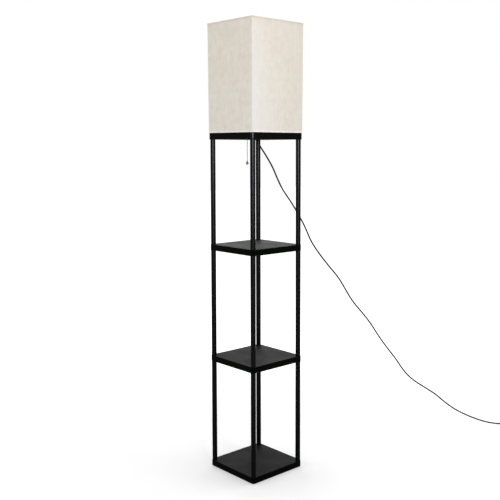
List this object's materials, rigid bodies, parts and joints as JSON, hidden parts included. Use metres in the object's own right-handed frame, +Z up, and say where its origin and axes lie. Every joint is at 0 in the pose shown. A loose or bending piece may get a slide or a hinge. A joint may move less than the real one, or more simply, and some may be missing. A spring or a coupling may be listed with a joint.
{
  "type": "shelf floor lamp",
  "caption": "Floor lamp whose square shelf tower of round posts carries a tall square fabric shade, with a pull-chain switch under it.",
  "frame": {"origin": "on the floor, under the middle of the square base", "axes": "+Z up; X and Y along the sides of the square shelves; the cord leaves on the -X side and runs to +Y"},
  "size_m": [0.5445, 1.345, 1.6],
  "materials": {
    "shelf_board": "black satin paint on board",
    "black_tube": "black satin powder coat",
    "bare_steel": "zinc-plated steel",
    "bead_steel": "nickel-plated bead chain",
    "white_wire": "white coated wire",
    "black_plastic": "matt black moulding",
    "white_plastic": "matt white moulding",
    "diffuser": "frosted diffuser",
    "bulb_metal": "pressed threaded cap",
    "contact_brass": "plain brass",
    "porcelain": "unglazed porcelain",
    "shade_cloth": "off-white linen weave",
    "liner": "white styrene sheet",
    "cord_pvc": "black cord jacket",
    "foot_rubber": "black pad",
    "core_black": "black wire insulation"
  },
  "bodies": {
    "lamp": {"bar_nuts": "bare_steel", "bar_screws": "bare_steel", "base_screws": "bare_steel", "base_shelf": "shelf_board", "bottom_trim": "shade_cloth", "centre_contact": "contact_brass", "cross_bar": "black_tube", "foot_pads": "foot_rubber", "frame_screws": "bare_steel", "inner_lead": "cord_pvc", "inner_wires": "core_black", "joining_studs": "bare_steel", "lower_post_front_left": "black_tube", "lower_post_front_right": "black_tube", "lower_post_rear_left": "black_tube", "lower_post_rear_right": "black_tube", "lower_shelf": "shelf_board", "middle_post_front_left": "black_tube", "middle_post_front_right": "black_tube", "middle_post_rear_left": "black_tube", "middle_post_rear_right": "black_tube", "plug_blades": "bare_steel", "plug_body": "cord_pvc", "power_cord": "cord_pvc", "return_spring": "bare_steel", "screw_shell": "contact_brass", "shade_fabric": "shade_cloth", "shade_liner": "liner", "shade_spider": "white_wire", "shade_top_ring": "white_wire", "socket_body": "black_plastic", "socket_cap": "black_plastic", "socket_insert": "porcelain", "strain_relief": "cord_pvc", "switch_bushing": "bead_steel", "switch_contacts": "contact_brass", "switch_cover": "black_plastic", "switch_housing": "black_plastic", "terminal_screws": "contact_brass", "threaded_nipple": "bare_steel", "top_frame": "shelf_board", "top_trim": "shade_cloth", "tube_inserts": "bare_steel", "upper_post_front_left": "black_tube", "upper_post_front_right": "black_tube", "upper_post_rear_left": "black_tube", "upper_post_rear_right": "black_tube", "upper_shelf": "shelf_board", "wheel_pin": "bare_steel"},
    "pull": {"pull_link": "bead_steel"},
    "chain": {"pull_chain": "bead_steel", "chain_bell": "bead_steel"},
    "wheel": {"switch_wheel": "contact_brass"},
    "bulb": {"bulb_contact": "contact_brass", "bulb_insulator": "black_plastic", "bulb_cap": "bulb_metal", "bulb_housing": "white_plastic", "bulb_globe": "diffuser"},
    "ring": {"shade_ring": "black_plastic"}
  },
  "joints": [
    {"name": "chain_pull", "type": "slide", "parent": "lamp", "child": "pull", "axis": [0, 0, -1], "range_m": [0, 0.01], "stiffness_N_per_m": 300, "springref_m": -0.005},
    {"name": "chain_swing", "type": "hinge", "parent": "pull", "child": "chain", "pos_m": [-0.045, 0, 1.203], "axis": [0, 1, 0], "range_deg": [-30, 30]},
    {"name": "wheel_turn", "type": "hinge", "parent": "lamp", "child": "wheel", "pos_m": [-0.0527, 0, 1.232], "axis": [0, 1, 0], "range_deg": [0, 75]},
    {"name": "bulb_turn", "type": "hinge", "parent": "lamp", "child": "bulb", "pos_m": [0, 0, 1.2589], "axis": [0, 0, 1], "continuous": true},
    {"name": "ring_turn", "type": "hinge", "parent": "lamp", "child": "ring", "pos_m": [0, 0, 1.2558], "axis": [0, 0, 1], "continuous": true}
  ],
  "couplings": [
    {"joint": "wheel_turn", "follows": "chain_pull", "rad_per_m": 129.87}
  ]
}
